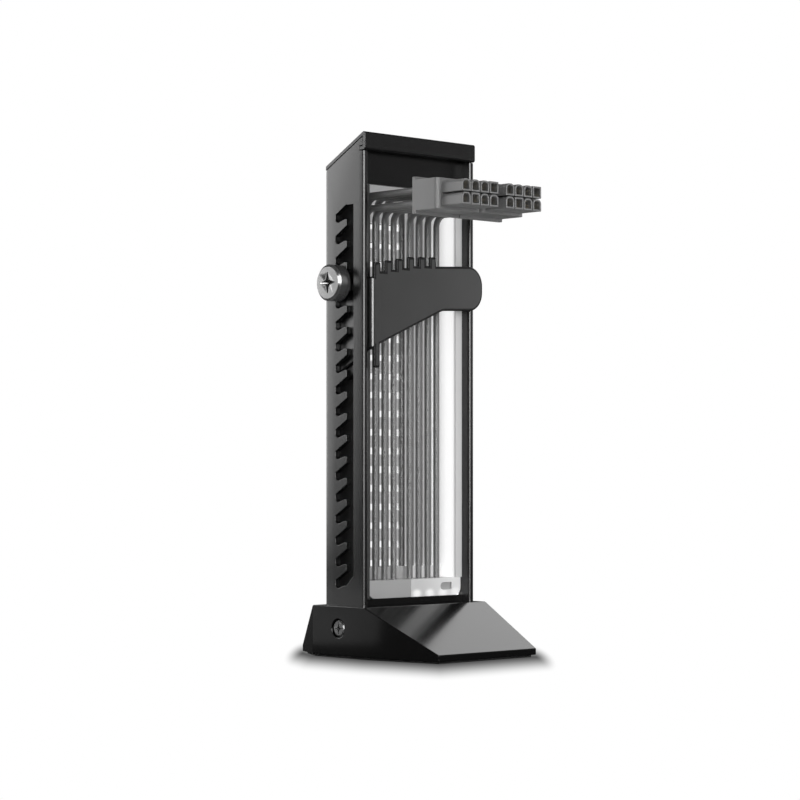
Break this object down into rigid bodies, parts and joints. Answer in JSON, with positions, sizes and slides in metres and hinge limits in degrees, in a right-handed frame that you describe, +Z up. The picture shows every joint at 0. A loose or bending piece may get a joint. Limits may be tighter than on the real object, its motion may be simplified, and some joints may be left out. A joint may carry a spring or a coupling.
{
  "type": "graphics card support bracket with power lead organiser",
  "caption": "Upright sheet steel column on a sloped foot, with a height-adjustable arm, a clamp screw, lit wires and keyed power plugs.",
  "frame": {"origin": "on the floor, under the middle of the column's footprint", "axes": "+Z up, -Y out of the column's open front where the plugs are, +X to the right seen from the front"},
  "size_m": [0.0583, 0.0718, 0.1721],
  "materials": {
    "column_paint": "satin black powder coat",
    "inner_paint": "gloss black",
    "base_plastic": "satin black moulding",
    "bare_steel": "zinc plated",
    "black_steel": "black oxide",
    "bright_steel": "turned face, dark rim",
    "pad_rubber": "matt",
    "milky_plastic": "milky, lit from below",
    "grey_plastic": "fine moulded",
    "inner_plastic": "moulded",
    "board": "solder mask",
    "lamp": "clear lens",
    "contact_brass": "tinned or gilt",
    "plug_plastic": "moulded",
    "arm_paint": "satin dark coat",
    "wire_jacket": "smooth insulation"
  },
  "bodies": {
    "stand": {"column_shell": "column_paint", "top_cap": "column_paint", "header_plate": "inner_paint", "sill_plate": "inner_paint", "slot_shield": "inner_paint", "base_shell": "base_plastic", "base_floor_plate": "bare_steel", "rubber_pad": "pad_rubber", "floor_plate_screws": "bare_steel", "base_screw_left": "black_steel", "base_screw_right": "black_steel", "light_diffuser": "milky_plastic", "socket_carrier": "inner_plastic", "lamp_board": "board", "lamps": "lamp", "socket_block_left": "grey_plastic", "socket_block_right": "milky_plastic", "socket_pins_left": "contact_brass", "socket_pins_right": "contact_brass", "plug_hood_left": "plug_plastic", "plug_hood_right": "plug_plastic", "plug_nose_left": "plug_plastic", "plug_nose_right": "plug_plastic", "plug_contacts_left": "contact_brass", "plug_contacts_right": "contact_brass", "wire_left_front_1": "wire_jacket", "wire_left_front_2": "wire_jacket", "wire_left_front_3": "wire_jacket", "wire_left_front_4": "wire_jacket", "wire_left_back_1": "wire_jacket", "wire_left_back_2": "wire_jacket", "wire_left_back_3": "wire_jacket", "wire_left_back_4": "wire_jacket", "wire_right_front_1": "wire_jacket", "wire_right_front_2": "wire_jacket", "wire_right_front_3": "wire_jacket", "wire_right_front_4": "wire_jacket", "wire_right_back_1": "wire_jacket", "wire_right_back_2": "wire_jacket", "wire_right_back_3": "wire_jacket", "wire_right_back_4": "wire_jacket"},
    "arm": {"support_arm": "arm_paint", "nut_plate": "arm_paint"},
    "washer": {"thumb_washer": "black_steel"},
    "thumb_screw": {"thumb_screw": "bright_steel"}
  },
  "joints": [
    {"name": "arm_height", "type": "slide", "parent": "stand", "child": "arm", "axis": [0, 0, 1], "range_m": [-0.0708, 0.01416]},
    {"name": "washer_lift", "type": "slide", "parent": "arm", "child": "washer", "axis": [-1, 0, 0], "range_m": [0, 0.001]},
    {"name": "screw_turn", "type": "hinge", "parent": "washer", "child": "thumb_screw", "pos_m": [-0.026, 0.00277, 0.12319], "axis": [-1, 0, 0], "range_deg": [0, 740]}
  ],
  "couplings": [
    {"joint": "screw_turn", "follows": "washer_lift", "rad_per_m": 12566}
  ]
}
